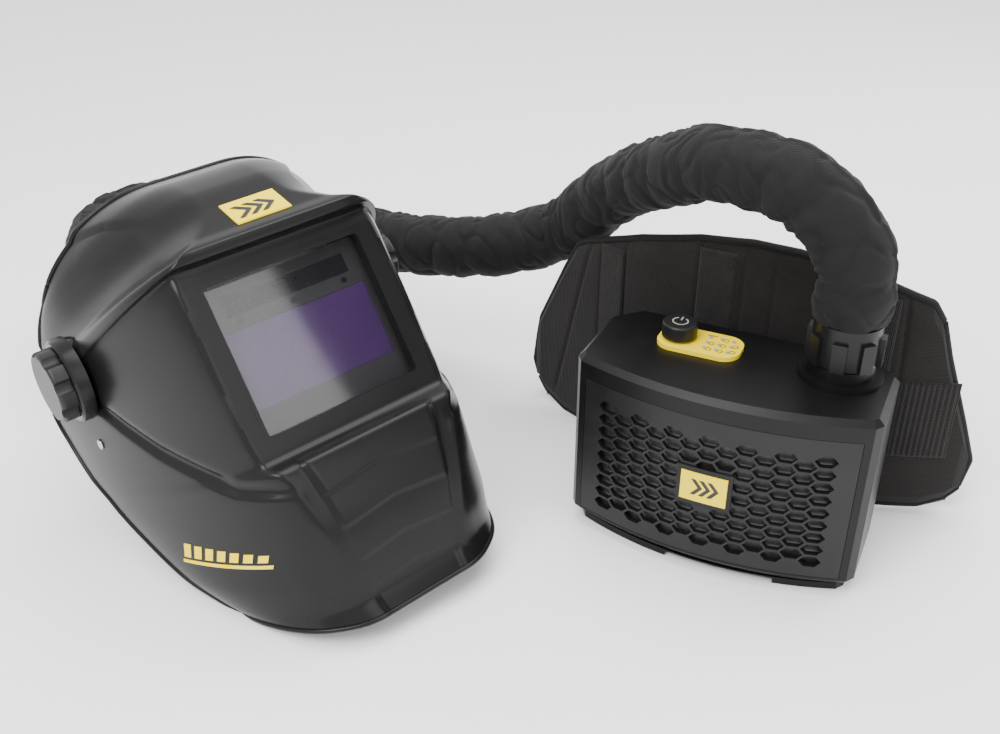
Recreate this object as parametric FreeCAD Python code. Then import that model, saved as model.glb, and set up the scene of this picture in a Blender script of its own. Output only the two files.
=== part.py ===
"""Powered air respirator: flip-up welding helmet, breathing hose, belt-worn blower. Millimetres, +Z up.

The row frame has its origin under the middle of the blower, on the floor it stands on. +X runs along the
row, from the helmet to the blower. Each sub-assembly is drawn in its own frame and placed at the end:
helmet and headgear about the pivot axis (+X forward, +Y the wearer's left), blower and belt about the
middle of the case's foot (+X right, +Y to the wearer's back, -Y the grille).
"""
import math
import os

import FreeCAD
import Part
from FreeCAD import Placement, Rotation, Vector as V

os.makedirs("parts", exist_ok=True)

# ---- driving sizes ----
WINDOW_W, WINDOW_H = 110.0, 97.0      # the opening in front of the welding filter
WINDOW_TILT = 12.0                    # the window leans back from the vertical, degrees
WINDOW_X, WINDOW_Z = 133.0, -10.0     # window centre, from the pivot
SHELL_T = 3.0
PIVOT_Y = 116.0                       # inner seat of the pivot boss
BOSS_T, BOSS_R = 7.0, 29.0
KNOB_R, KNOB_T = 25.0, 11.0
BOLT_R = 5.0
GAP = 0.3                             # clearance between pieces that don't touch
RUN = 0.05                            # radial clearance of a running fit
BAND_A, BAND_B, BAND_T, BAND_H = 95.0, 80.0, 2.4, 24.0
BAND_Z = 6.0                          # lower edge of the head band
BAND_TIP = 12.0                       # the band is high at the brow, low at the nape
CROWN_R = 84.0                        # outer radius of the crown strap, about the pivot
DUCT_R0, DUCT_R1, DUCT_W = 85.0, 99.0, 54.0
INLET_DEG = 158.0                     # where the duct's elbow stands, over the top from straight ahead
CASE_W, CASE_D, CASE_H = 200.0, 102.0, 136.0
CASE_BULGE = 20.0                     # how far the curved front stands out at the middle
CASE_WALL = 3.0
HEX_PITCH_X, HEX_PITCH_Z, HEX_BAR = 12.0, 9.8, 1.8
OUTLET_X, OUTLET_Y = 64.0, 17.0
COLLAR_R, COLLAR_TOP = 21.0, 148.0
NUT_R, NUT_Z0, NUT_Z1 = 21.5, 149.0, 177.0
HEAD_NUT_H = 16.0
CUFF_R = 19.0
HOSE_R, COVER_R = 19.5, 25.0          # corrugated hose and the fabric cover over it
HOSE_WALL, COVER_WALL = 2.5, 4.5
PANEL_X, PANEL_Y, PANEL_W, PANEL_D, PANEL_T = -29.0, 15.0, 57.0, 32.0, 3.0
BUTTON_X, BUTTON_R, BUTTON_H = -44.0, 12.0, 10.0
PAD_T = 12.0
WEB_W, WEB_T = 50.0, 2.0
RIVET_X, RIVET_Z = 6.0, -47.0          # stop rivets in the shell's sides
COVER_HALF, COVER_Z0, COVER_Z1 = 91.0, 15.0, 121.0    # grille cover: half-width, lower and upper edge
BATTERY = (-96.0, -14.0, 1.0, 31.0, 14.0, 84.0)       # x, y and z limits
SCREWS = ((-52, 40), (-52, 100), (52, 40), (52, 100))
FAN_X, FAN_Z, FAN_R = 34.0, 62.0, 24.0

HELMET_AT = V(-350.0, 79.0, 130.1)
HELMET_YAW, HELMET_PITCH, HELMET_ROLL = 38.5, 22.3, 4.0
BLOWER_YAW = 26.0
HELMET_POSE = Placement(HELMET_AT, Rotation(V(0, 0, 1), HELMET_YAW - 90) * Rotation(V(0, 1, 0), -HELMET_PITCH)
                        * Rotation(V(1, 0, 0), HELMET_ROLL))

# Hose route in the row frame, from the head end to the blower end
HOSE_ROUTE = [
    V(-496, 222, 113), V(-512, 290, 113), V(-452, 348, 114), V(-350, 324, 110), V(-244, 246, 114),
    V(-171, 206, 127), V(-105, 195, 146), V(-65, 149, 205), V(-12, 54, 257), V(32, 6, 258),
]

NODES = {}


# ---- helpers ----
def box(x0, x1, y0, y1, z0, z1):
    return Part.makeBox(x1 - x0, y1 - y0, z1 - z0, V(x0, y0, z0))


def cyl(r, h, base=V(0, 0, 0), axis=V(0, 0, 1)):
    return Part.makeCylinder(r, h, base, axis)


def ring(r_out, r_in, z0, z1, x=0.0, y=0.0):
    return cyl(r_out, z1 - z0, V(x, y, z0)).cut(cyl(r_in, z1 - z0 + 2, V(x, y, z0 - 1)))


def round_box(w, h, t, r, z0=0.0):
    """A plate w by h, t thick, centred on the Z axis, with its upright corners rounded."""
    plate = box(-w / 2, w / 2, -h / 2, h / 2, z0, z0 + t)
    upright = [e for e in plate.Edges if abs(e.tangentAt(e.FirstParameter).z) > 0.9]
    return plate.makeFillet(r, upright)


def prism(points, vector):
    return Part.Face(Part.makePolygon(points + [points[0]])).extrude(vector)


def rounded_route(points):
    """Straight runs joined by tangent arcs, each as large as the shorter run beside it allows."""
    edges, at, radii = [], points[0], []
    for i in range(1, len(points) - 1):
        before, after = points[i] - points[i - 1], points[i + 1] - points[i]
        turn = before.getAngle(after)
        radius = 0.45 * min(before.Length, after.Length) / math.tan(turn / 2)
        cut = radius * math.tan(turn / 2)
        u, v = V(before).normalize(), V(after).normalize()
        start, end = points[i] - u * cut, points[i] + v * cut
        inward = (v - u).normalize()
        centre = points[i] + inward * (radius / math.cos(turn / 2))
        middle = centre - inward * radius
        edges += [Part.makeLine(at, start), Part.Arc(start, middle, end).toShape()]
        at = end
        radii.append(round(radius))
    edges.append(Part.makeLine(at, points[-1]))
    return Part.Wire(edges), radii


def sweep_tube(wire, r_out, r_in, start, direction):
    def sweep(r):
        profile = Part.Wire(Part.makeCircle(r, start, direction))
        return wire.makePipeShell([profile], True, False)
    return sweep(r_out).cut(sweep(r_in))


# ---- helmet shell ----
# One row per section from the crown rim to the chin rim: centre x, z; how far the inner wall lies behind
# it; half-width of the flat front; corner sharpness; half-width at the rear edge; rear edge x, z.
SECTIONS = [
    (12, 105, 3, 26, 2.1, 108, -36, 50), (45, 102, 3, 24, 1.85, 113, -43, 38),
    (75, 92.5, 3, 24, 1.6, 117, -49, 24), (98, 78, 3, 28, 1.45, 120, -53, 11),
    (116, 66.5, 4, 44, 1.45, 122, -56, -1), (128, 60, 8, 62, 1.5, 123, -58, -11),
    (127, 55, 7, 66, 1.5, 123, -58, -17), (119, 50, 3, 68, 1.3, 123, -58, -23),
    (122, 40, 3, 69, 1.25, 123, -57, -30), (133, -10, 3, 70, 1.2, 122, -50, -50),
    (143, -57, 3, 69, 1.2, 121, -34, -74), (147, -70, 4, 67, 1.25, 120, -26, -82),
    (158, -78, 8, 62, 1.35, 119, -18, -89), (162, -92, 4, 58, 1.4, 118, -8, -98),
    (165, -122, 3, 50, 1.5, 114, 17, -119), (163, -152, 3, 42, 1.7, 108, 47, -142),
    (160, -174, 3, 36, 1.9, 99, 71, -159), (165, -187, 3, 32, 2.0, 91, 86, -170),
]
SECTION_STEP = 8.0     # spacing of the sections once evened out
ACROSS = 26            # points across each section


def evened(rows, step):
    """Rows respaced evenly along the profile by monotone cubic interpolation of every column."""
    at = [0.0]
    for p, q in zip(rows, rows[1:]):
        at.append(at[-1] + math.hypot(q[0] - p[0], q[1] - p[1]))
    slopes = [[(q[c] - p[c]) / (b - a) for c in range(len(p))]
              for p, q, a, b in zip(rows, rows[1:], at, at[1:])]

    def tangent(i, c):
        if i in (0, len(rows) - 1):
            return slopes[min(i, len(slopes) - 1)][c]
        m, n = slopes[i - 1][c], slopes[i][c]
        return 0.0 if m * n <= 0 else 2 * m * n / (m + n)

    count = round(at[-1] / step)
    result = []
    for k in range(count + 1):
        s = at[-1] * k / count
        i = max(j for j in range(len(rows) - 1) if at[j] <= s or j == 0)
        h = at[i + 1] - at[i]
        t = (s - at[i]) / h
        result.append(tuple(
            (1 + 2 * t) * (1 - t) ** 2 * rows[i][c] + t * (1 - t) ** 2 * h * tangent(i, c)
            + t * t * (3 - 2 * t) * rows[i + 1][c] + t * t * (t - 1) * h * tangent(i + 1, c)
            for c in range(len(rows[0]))))
    return result


def spread(points, count):
    """Points respaced evenly along the polyline they make."""
    at = [0.0]
    for p, q in zip(points, points[1:]):
        at.append(at[-1] + (q - p).Length)
    result, i = [], 0
    for k in range(count + 1):
        s = at[-1] * k / count
        while i < len(points) - 2 and at[i + 1] < s:
            i += 1
        result.append(points[i] + (points[i + 1] - points[i]) * ((s - at[i]) / (at[i + 1] - at[i])))
    return result


def section_points(row, inner=False, grow=0.0):
    """Points across the shell from the wearer's right to left at one section, moved outward by grow."""
    x, z, back, flat, sharp, half, edge_x, edge_z = row
    run = math.hypot(edge_x - x, edge_z - z)
    shift = back if inner else -grow
    x, z = x + (edge_x - x) * shift / run, z + (edge_z - z) * shift / run
    half, flat = (half - SHELL_T, flat - 1.0) if inner else (half + grow, flat + grow / 3)
    side = [V(x, 0, z)]
    for j in range(41):
        theta = math.pi / 2 * j / 40
        f = 1 - math.cos(theta) ** 1.25
        y = flat + (half - flat) * math.sin(theta) ** (2 / sharp)
        side.append(V(x + (edge_x - x) * f, y, z + (edge_z - z) * f))
    left = spread(side, ACROSS // 2)
    return [V(p.x, -p.y, p.z) for p in reversed(left[1:])] + left


def skin(outer_rows, inner_rows):
    """A closed solid between two smooth surfaces given as grids of points."""
    surfaces = []
    for rows in (outer_rows, inner_rows):
        surface = Part.BSplineSurface()
        surface.interpolate(rows)
        surfaces.append(surface)
    faces = [surface.toShape() for surface in surfaces]
    u0, u1, v0, v1 = surfaces[0].bounds()
    a0, a1, b0, b1 = surfaces[1].bounds()
    for u, a in ((u0, a0), (u1, a1)):
        faces.append(Part.makeRuledSurface(surfaces[0].uIso(u).toShape(), surfaces[1].uIso(a).toShape()))
    for v, b in ((v0, b0), (v1, b1)):
        faces.append(Part.makeRuledSurface(surfaces[0].vIso(v).toShape(), surfaces[1].vIso(b).toShape()))
    sewn = Part.makeShell(faces)
    sewn.sewShape()
    solid = Part.Solid(sewn.Shells[0])
    return solid if solid.Volume > 0 else solid.reversed()


def shell_skin(low, high):
    """The layer of the helmet from low to high above its outer surface."""
    rows = evened(SECTIONS, SECTION_STEP)
    return skin([section_points(r, grow=high) for r in rows], [section_points(r, grow=low) for r in rows])


def at_window(shape):
    """Puts a piece drawn face up (X to the wearer's right, Y up, Z out) onto the window."""
    tilt = math.radians(WINDOW_TILT)
    out, up = V(math.cos(tilt), 0, math.sin(tilt)), V(-math.sin(tilt), 0, math.cos(tilt))
    right = up.cross(out)
    matrix = FreeCAD.Matrix(right.x, up.x, out.x, WINDOW_X, right.y, up.y, out.y, 0,
                            right.z, up.z, out.z, WINDOW_Z, 0, 0, 0, 1)
    placed = shape.copy()
    placed.Placement = Placement(matrix)
    return placed


def helmet():
    rows = evened(SECTIONS, SECTION_STEP)
    shell = skin([section_points(r) for r in rows], [section_points(r, inner=True) for r in rows])
    shell = shell.cut(at_window(round_box(WINDOW_W + 6, WINDOW_H + 6, 40, 5, -14)))
    for side in (-1, 1):
        out = V(0, side, 0)
        shell = shell.cut(cyl(BOSS_R + 2, 20, V(0, side * (PIVOT_Y - 20), 0), out))
        boss = cyl(BOSS_R, BOSS_T, V(0, side * PIVOT_Y, 0), out)
        shell = shell.fuse(boss).cut(cyl(BOLT_R + RUN, 40, V(0, side * (PIVOT_Y - 15), 0), out))
        shell = shell.cut(cyl(2.5, 30, V(RIVET_X, side * (PIVOT_Y - 20), RIVET_Z), out))
    NODES["helmet_shell"] = shell
    NODES["side_rivets"] = Part.makeCompound([
        cyl(2.5, 6.5, V(RIVET_X, side * (PIVOT_Y - 0.5), RIVET_Z), V(0, side, 0)).fuse(
            cyl(4, 1.2, V(RIVET_X, side * (PIVOT_Y + 6), RIVET_Z), V(0, side, 0))) for side in (-1, 1)])
    window_stack()
    badge = [V(97, -17, 60), V(97, 21, 60), V(117, 21, 60), V(117, -17, 60)]
    NODES["forehead_badge"] = shell_skin(0.02, 1.2).common(prism(badge, V(0, 0, 60)))
    mark = [V(72, -130, -115), V(140, -130, -121), V(134, -130, -134), V(62, -130, -128)]
    NODES["cheek_mark"] = shell_skin(0.02, 0.8).common(prism(mark, V(0, 128, 0)))
    NODES["face_seal"] = face_seal()


def face_seal():
    """A curtain inside the lower half of the shell, open at the nape, that closes round the wearer's jaw."""
    def rows(shrink):
        grid = []
        for j, (drop, inset) in enumerate(((-76, 6), (-97, 10), (-116, 20))):
            row = []
            for k in range(17):
                a = math.radians(-100 + 200 * k / 16)
                x = 62 + (88 - inset - shrink) * math.cos(a)
                row.append(V(x, (92 - inset - shrink) * math.sin(a), drop - 0.17 * j * (x + 20)))
            grid.append(row)
        return grid
    return skin(rows(0), rows(2.5))


def window_stack():
    """The cartridge stack behind the window, front to back."""
    lens_z, adf_z, adf_t, holder_t = -9.0, -10.4, 9.0, 3.2
    lcd = (-50.5, 50.5, -31.5, 18.5)
    solar = (-44.0, 44.0, 28.0, 40.5)
    lens_w, lens_h = WINDOW_W + 4, WINDOW_H + 4
    frame = round_box(WINDOW_W + 5.4, WINDOW_H + 5.4, 4.5, 4.7, -4.5).fuse(
        round_box(WINDOW_W + 12, WINDOW_H + 11, 20, 5, -24))
    frame = frame.cut(round_box(WINDOW_W, WINDOW_H, 12, 3, -10)).cut(
        round_box(lens_w + 1, lens_h + 1, 20, 3, lens_z - 20))
    lens = round_box(lens_w, lens_h, 1.2, 2.5, lens_z - 1.2)
    adf = round_box(lens_w, lens_h, adf_t, 2.5, adf_z - adf_t)
    x0, x1, y0, y1 = lcd
    adf = adf.cut(box(x0 - 0.2, x1 + 0.2, y0 - 0.2, y1 + 0.2, adf_z - 2, adf_z + 1))
    adf = adf.cut(box(x0 + 3, x1 - 3, y0 + 3, y1 - 3, adf_z - adf_t - 1, adf_z))
    adf = adf.cut(box(solar[0] - 0.2, solar[1] + 0.2, solar[2] - 0.2, solar[3] + 0.2, adf_z - 2, adf_z + 1))
    sensor_at = [V(x, 23.5, adf_z - 2) for x in (-38, 0, 38)]
    for p in sensor_at:
        adf = adf.cut(cyl(2.2, 3, p))
    holder_z = adf_z - adf_t - holder_t - 0.2
    holder = round_box(lens_w, lens_h, holder_t, 2.5, holder_z)
    holder = holder.cut(box(-48, 48, y0 + 1, y1 - 1, holder_z - 1, holder_z + 9))
    holder = holder.cut(box(-52.2, 52.2, y0 - 3.2, y1 + 3.2, holder_z - 1, holder_z + 1.4))
    for name, shape in (
            ("window_frame", frame), ("cover_lens", lens), ("adf_housing", adf), ("adf_holder", holder),
            ("adf_lcd", box(x0, x1, y0, y1, adf_z - 2, adf_z - 0.2)),
            ("solar_panel", box(solar[0], solar[1], solar[2], solar[3], adf_z - 2, adf_z - 0.2)),
            ("arc_sensors", Part.makeCompound([cyl(2.0, 1.8, p) for p in sensor_at])),
            ("inner_cover_lens", box(-52, 52, y0 - 3, y1 + 3, holder_z + 0.2, holder_z + 1.3))):
        NODES[name] = at_window(shape)


# ---- headgear ----
def band_ring(a, b, t, z0, z1):
    """An elliptical hoop, t thick, inside half-axes a and b."""
    def oval(p, q):
        return Part.Face(Part.Wire(Part.Ellipse(V(0, 0, z0), p, q).toShape())).extrude(V(0, 0, z1 - z0))
    return oval(a, b).cut(oval(a - t, b - t))


def arch(r0, r1, y0, y1, deg0, deg1):
    """A sector of a hoop round the pivot axis; angles run from straight ahead over the top."""
    n = 14
    def at(r, k):
        t = math.radians(deg0 + (deg1 - deg0) * k / n)
        return V(r * math.cos(t), y0, r * math.sin(t))
    start, mid, end = (lambda r: at(r, 0)), (lambda r: at(r, n / 2)), (lambda r: at(r, n))
    wire = Part.Wire([Part.Arc(start(r1), mid(r1), end(r1)).toShape(), Part.makeLine(end(r1), end(r0)),
                      Part.Arc(end(r0), mid(r0), start(r0)).toShape(), Part.makeLine(start(r0), start(r1))])
    return Part.Face(wire).extrude(V(0, y1 - y0, 0))


def headgear():
    z0, z1 = BAND_Z, BAND_Z + BAND_H
    NODES["head_band"] = tip_band(band_ring(BAND_A, BAND_B, BAND_T, z0, z1))
    brow = band_ring(BAND_A - BAND_T - GAP, BAND_B - BAND_T - GAP, 6, z0 - 4, z1 + 4)
    NODES["sweat_band"] = tip_band(brow.common(box(35, 120, -100, 100, z0 - 10, z1 + 10)))
    NODES["nape_pad"] = tip_band(brow.common(box(-120, -60, -45, 45, z0 - 10, z1 + 10)))
    strap = band_ring(CROWN_R, 74, 2, 0, 20)
    strap.Placement = Placement(V(10, 0, 0), Rotation(V(0, 0, 1), V(0, 1, 0), V(-1, 0, 0), "XYZ"))
    strap = strap.common(box(-20, 20, -100, 100, z0 + 2, 120))
    NODES["crown_strap"] = strap
    NODES["strap_rivets"] = Part.makeCompound([
        cyl(3, 12, V(0, side * 68, z0 + 12), V(0, side, 0)) for side in (-1, 1)])
    arms, bolts, washers = [], [], []
    for name, side in (("right", -1), ("left", 1)):
        out = V(0, side, 0)
        y0, y1 = sorted((side * (PIVOT_Y - 6.3), side * (PIVOT_Y - 2.3)))
        arm = cyl(17, 4, V(0, y0, 0), V(0, 1, 0)).fuse(box(-12, 12, y0, y1, 0, z0 + 20))
        reach = box(-12, 12, *sorted((side * BAND_B, side * (PIVOT_Y - 3))), z0 + 4, z0 + 8)
        pad = box(-12, 12, *sorted((side * BAND_B, side * (BAND_B + 3))), z0 + 2, z0 + 20)
        arm = arm.fuse(reach).fuse(pad)
        arms.append(arm.cut(cyl(BOLT_R, 12, V(0, y0 - 3, 0), V(0, 1, 0))))
        bolt = cyl(BOLT_R, 22, V(0, side * (PIVOT_Y - 9.5), 0), out)
        bolt = bolt.fuse(cyl(9, 3, V(0, side * (PIVOT_Y - 9.4), 0), out))
        bolts.append(bolt)
        washer = cyl(14, 1.6, V(0, side * (PIVOT_Y - 2), 0), out)
        washers.append(washer.cut(cyl(BOLT_R + RUN, 4, V(0, side * (PIVOT_Y - 3), 0), out)))
        NODES["tension_knob_" + name] = knob(side)
    for name, pair in (("pivot_arms", arms), ("pivot_bolts", bolts), ("friction_washers", washers)):
        NODES[name] = Part.makeCompound(pair)
    housing = box(-BAND_A - 14, -BAND_A - 0.4, -28, 28, z0 - 3, z1 + 1)
    housing = housing.makeFillet(4, [e for e in housing.Edges if abs(e.tangentAt(e.FirstParameter).x) > 0.9])
    housing = housing.cut(cyl(6 + RUN, 30, V(-BAND_A - 20, 0, z0 + 12), V(1, 0, 0)))
    NODES["ratchet_housing"] = tip_band(housing)
    dial = cyl(17, 9, V(-BAND_A - 23.3, 0, z0 + 12), V(1, 0, 0)).fuse(
        cyl(6, 14, V(-BAND_A - 15, 0, z0 + 12), V(1, 0, 0)))
    for k in range(12):
        t = 2 * math.pi * k / 12
        grip = V(-BAND_A - 24, 17.8 * math.cos(t), z0 + 12 + 17.8 * math.sin(t))
        dial = dial.cut(cyl(2.2, 12, grip, V(1, 0, 0)))
    NODES["ratchet_knob"] = tip_band(dial)
    duct = arch(DUCT_R0, DUCT_R1, -DUCT_W / 2, DUCT_W / 2, 50, 168)
    duct = duct.cut(arch(DUCT_R0 + 1.8, DUCT_R1 - 1.8, -DUCT_W / 2 + 1.8, DUCT_W / 2 - 1.8, 49, 166))
    radial = V(math.cos(math.radians(INLET_DEG)), 0, math.sin(math.radians(INLET_DEG)))
    NODES["air_duct"] = duct.cut(cyl(15, 30, radial * (DUCT_R1 - 10), radial))
    at, way = inlet_end()

    def elbow(r, grow):
        bend = Part.makeSphere(r + 0.3, radial * (DUCT_R1 + 7))
        entry = cyl(r, 8 + grow, radial * (DUCT_R1 - 1 - grow), radial)
        return entry.fuse(bend).fuse(cyl(r, 14 + grow, radial * (DUCT_R1 + 7), way))
    NODES["duct_inlet"] = max(elbow(15, 0).cut(elbow(13, 3)).Solids, key=lambda solid: solid.Volume)


def inlet_end():
    """Where the hose meets the duct's elbow, and which way it leaves, in the helmet frame."""
    radial = V(math.cos(math.radians(INLET_DEG)), 0, math.sin(math.radians(INLET_DEG)))
    joint = radial * (DUCT_R1 + 7)
    way = (HELMET_POSE.inverse().multVec(HOSE_ROUTE[0]) - joint).normalize()
    return joint + way * 14, way


def tip_band(shape):
    """The head band and what is on it lean back: high at the brow, low at the nape."""
    tipped = shape.copy()
    tipped.rotate(V(0, 0, BAND_Z + BAND_H / 2), V(0, 1, 0), -BAND_TIP)
    return tipped


def knob(side):
    out = V(0, side, 0)
    y0 = PIVOT_Y + BOSS_T + GAP
    body = cyl(KNOB_R, KNOB_T, V(0, side * y0, 0), out)
    rim = [e for e in body.Edges if len(e.Vertexes) == 1 and abs(e.CenterOfMass.y) > y0 + KNOB_T - 1]
    body = body.makeFillet(3, rim)
    for k in range(8):
        t = 2 * math.pi * k / 8
        body = body.cut(cyl(5.5, KNOB_T + 2, V((KNOB_R + 2.5) * math.cos(t), side * (y0 - 1),
                                               (KNOB_R + 2.5) * math.sin(t)), out))
    return body.cut(cyl(BOLT_R + RUN, 8, V(0, side * (y0 - 2), 0), out))


# ---- blower ----
def plan_outline(inset, z):
    """The case's outline seen from above: curved front, straight sides, cut-off back corners."""
    half, front, back = CASE_W / 2 - inset, -CASE_D / 2 + inset, CASE_D / 2 - inset
    side_y = front + CASE_BULGE
    arc = Part.Arc(V(-half + 4, side_y - 2, z), V(0, front, z), V(half - 4, side_y - 2, z)).toShape()
    pts = [V(half - 4, side_y - 2, z), V(half, side_y + 4, z), V(half, back - 20, z), V(half - 18, back, z),
           V(-half + 18, back, z), V(-half, back - 20, z), V(-half, side_y + 4, z),
           V(-half + 4, side_y - 2, z)]
    return Part.Face(Part.Wire([arc] + [Part.makeLine(pts[i], pts[i + 1]) for i in range(len(pts) - 1)]))


def front_band(inset0, inset1, half, z0, z1):
    """A curved plate that follows the case's front, between two depths behind it."""
    layer = plan_outline(inset0, z0).extrude(V(0, 0, z1 - z0)).cut(
        plan_outline(inset1, z0 - 1).extrude(V(0, 0, z1 - z0 + 2)))
    return layer.common(box(-half, half, -CASE_D, -CASE_D / 2 + CASE_BULGE + 12, z0, z1))


def hex_holes():
    holes = []
    columns = int((COVER_HALF - 8) / HEX_PITCH_X)
    for i in range(-columns, columns + 1):
        shift = HEX_PITCH_Z / 2 if i % 2 else 0.0
        rows = int((COVER_Z1 - COVER_Z0 - 14 - shift) / HEX_PITCH_Z)
        for j in range(rows):
            x, z = i * HEX_PITCH_X, COVER_Z0 + 12 + shift + j * HEX_PITCH_Z
            if abs(x) < 20 and abs(z - 70) < 15:
                continue
            w, h = HEX_PITCH_X / 1.5 - HEX_BAR / 2, HEX_PITCH_Z / 2 - HEX_BAR / 2
            corners = [(w, 0), (w / 2, h), (-w / 2, h), (-w, 0), (-w / 2, -h), (w / 2, -h)]
            holes.append(prism([V(x + a, -CASE_D / 2 - 5, z + b) for a, b in corners], V(0, 50, 0)))
    return Part.makeCompound(holes)


def blower_case():
    outer = plan_outline(0, 4).extrude(V(0, 0, CASE_H - 4))
    top = [e for e in outer.Edges if e.BoundBox.ZMin > CASE_H - 0.01]
    outer = outer.makeChamfer(4, top)
    outer = outer.makeChamfer(9, [e for e in outer.Edges if e.BoundBox.ZMax < 4.01])
    foot = plan_outline(6, 0).extrude(V(0, 0, 5)).cut(box(-24, 50, -CASE_D, -CASE_D / 2 + 16, -1, 4))
    hollow = plan_outline(CASE_WALL + 4, 8).extrude(V(0, 0, CASE_H - 8 - CASE_WALL - 1))
    case = outer.fuse(foot).cut(hollow)
    case = case.cut(front_band(-1, 3.6, COVER_HALF + GAP, COVER_Z0 - GAP, COVER_Z1 + GAP))
    case = case.cut(box(-COVER_HALF + 5, COVER_HALF - 5, -CASE_D, -20, COVER_Z0 + 5, COVER_Z1 - 5))
    case = case.fuse(ring(COLLAR_R + 6, 10, CASE_H - 2, CASE_H + 4, OUTLET_X, OUTLET_Y)).fuse(
        ring(COLLAR_R, 10, CASE_H, COLLAR_TOP, OUTLET_X, OUTLET_Y))
    case = case.cut(cyl(16, 60, V(OUTLET_X, OUTLET_Y, CASE_H - 20)))
    case = case.cut(cyl(4 + RUN, 20, V(BUTTON_X, PANEL_Y, CASE_H - 12)))
    case = case.cut(box(-CASE_W / 2 - 5, -CASE_W / 2 + 14, BATTERY[2] - GAP, BATTERY[3] + GAP,
                        BATTERY[4] - GAP, BATTERY[5] + GAP))
    for x, z in SCREWS:
        case = case.cut(cyl(1.8, 14, V(x, CASE_D / 2 - 12, z), V(0, 1, 0)))
    return case


def blower():
    NODES["blower_case"] = blower_case()
    cover = front_band(0, 3.3, COVER_HALF, COVER_Z0, COVER_Z1)
    plate = front_band(-1.2, 0, 18.5, 55.5, 84.5)
    NODES["filter_cover"] = cover.cut(hex_holes())
    NODES["badge_plate"] = plate
    NODES["grille_badge"] = front_band(-2.0, -1.2, 15.5, 59, 81)
    NODES["spark_arrestor"] = front_band(5.2, 6.2, 84, COVER_Z0 + 6, COVER_Z1 - 6)
    NODES["prefilter"] = front_band(6.6, 10.6, 83, COVER_Z0 + 7, COVER_Z1 - 7)
    pleats = 20
    front = [V(-78 + 156 * k / (2 * pleats), -26 if k % 2 else -18, 24) for k in range(2 * pleats + 1)]
    back = [V(p.x, p.y + 14, 24) for p in reversed(front)]
    NODES["particle_filter"] = prism(front + back, V(0, 0, 88))
    gasket = box(-82, 82, -3, -0.5, 20, 116).cut(box(-76, 76, -4, 1, 26, 110))
    NODES["filter_gasket"] = gasket
    fan()
    x0, x1, y0, y1, z0, z1 = BATTERY
    NODES["battery"] = box(x0 + 10, x1, y0 + 1, y1 - 1, z0 + 1, z1 - 1).fuse(
        box(-CASE_W / 2, x0 + 10, y0, y1, z0, z1))
    NODES["battery_latch"] = box(-CASE_W / 2 + 2, -CASE_W / 2 + 5, 8, 24, z1 + 0.8, z1 + 12).fuse(
        box(-CASE_W / 2 - 2, -CASE_W / 2 + 2.5, 10, 22, z1 + 3, z1 + 10))
    NODES["blower_case"] = NODES["blower_case"].cut(
        box(-CASE_W / 2 - 5, -CASE_W / 2 + 6.5, 8 - GAP, 24 + GAP, z1 + 0.4, z1 + 16))
    NODES["circuit_board"] = box(-84, 2, 2, 30, 112, 114).fuse(
        box(BUTTON_X - 4, BUTTON_X + 4, PANEL_Y - 4, PANEL_Y + 4, 114, 121))
    panel = round_box(PANEL_W, PANEL_D, PANEL_T, 12, CASE_H).translated(V(PANEL_X, PANEL_Y, 0))
    NODES["control_panel"] = panel.cut(cyl(4 + RUN, 20, V(BUTTON_X, PANEL_Y, CASE_H - 8)))
    stem = cyl(4, 24, V(BUTTON_X, PANEL_Y, CASE_H - 12.5))
    z = CASE_H + PANEL_T + 2
    cap = cyl(BUTTON_R, BUTTON_H, V(BUTTON_X, PANEL_Y, z))
    cap = cap.makeFillet(1.5, [e for e in cap.Edges if e.BoundBox.ZMin > z + BUTTON_H - 0.1])
    NODES["power_button"] = stem.fuse(cap)
    NODES["indicator_leds"] = Part.makeCompound([
        cyl(1.3, 0.8, V(x, PANEL_Y + y, CASE_H + PANEL_T)) for x in (-24, -16, -8) for y in (-8, 0, 8)])
    NODES["outlet_spigot"] = ring(16, 14, CASE_H - 10, CASE_H + 32, OUTLET_X, OUTLET_Y)
    NODES["outlet_seal"] = Part.makeTorus(16.8, 0.75, V(OUTLET_X, OUTLET_Y, CASE_H + 24), V(0, 0, 1))
    bracket = box(-62, 62, CASE_D / 2 + 0.2, CASE_D / 2 + 4, 26, 112)
    bracket = bracket.makeFillet(8, [e for e in bracket.Edges if abs(e.tangentAt(e.FirstParameter).y) > 0.9])
    for x in (-57, 57):
        bracket = bracket.cut(box(x - 2, x + 2, CASE_D / 2, CASE_D / 2 + 6, 42, 96))
    for x, z in SCREWS:
        bracket = bracket.cut(cyl(2.0, 14, V(x, CASE_D / 2 - 2, z), V(0, 1, 0)))
    NODES["belt_bracket"] = bracket
    NODES["case_screws"] = Part.makeCompound([
        cyl(1.8, 14, V(x, CASE_D / 2 - 9.7, z), V(0, 1, 0)).fuse(
            cyl(3.5, 1.8, V(x, CASE_D / 2 + 4, z), V(0, 1, 0))) for x, z in SCREWS])
    NODES["hose_nut"] = lugged_nut(NUT_Z1 - NUT_Z0).translated(V(OUTLET_X, OUTLET_Y, NUT_Z0))
    cuff = ring(CUFF_R + 1 - RUN, 17.6, NUT_Z0 + 0.5, NUT_Z1 + GAP, OUTLET_X, OUTLET_Y)
    NODES["blower_cuff"] = cuff


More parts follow.
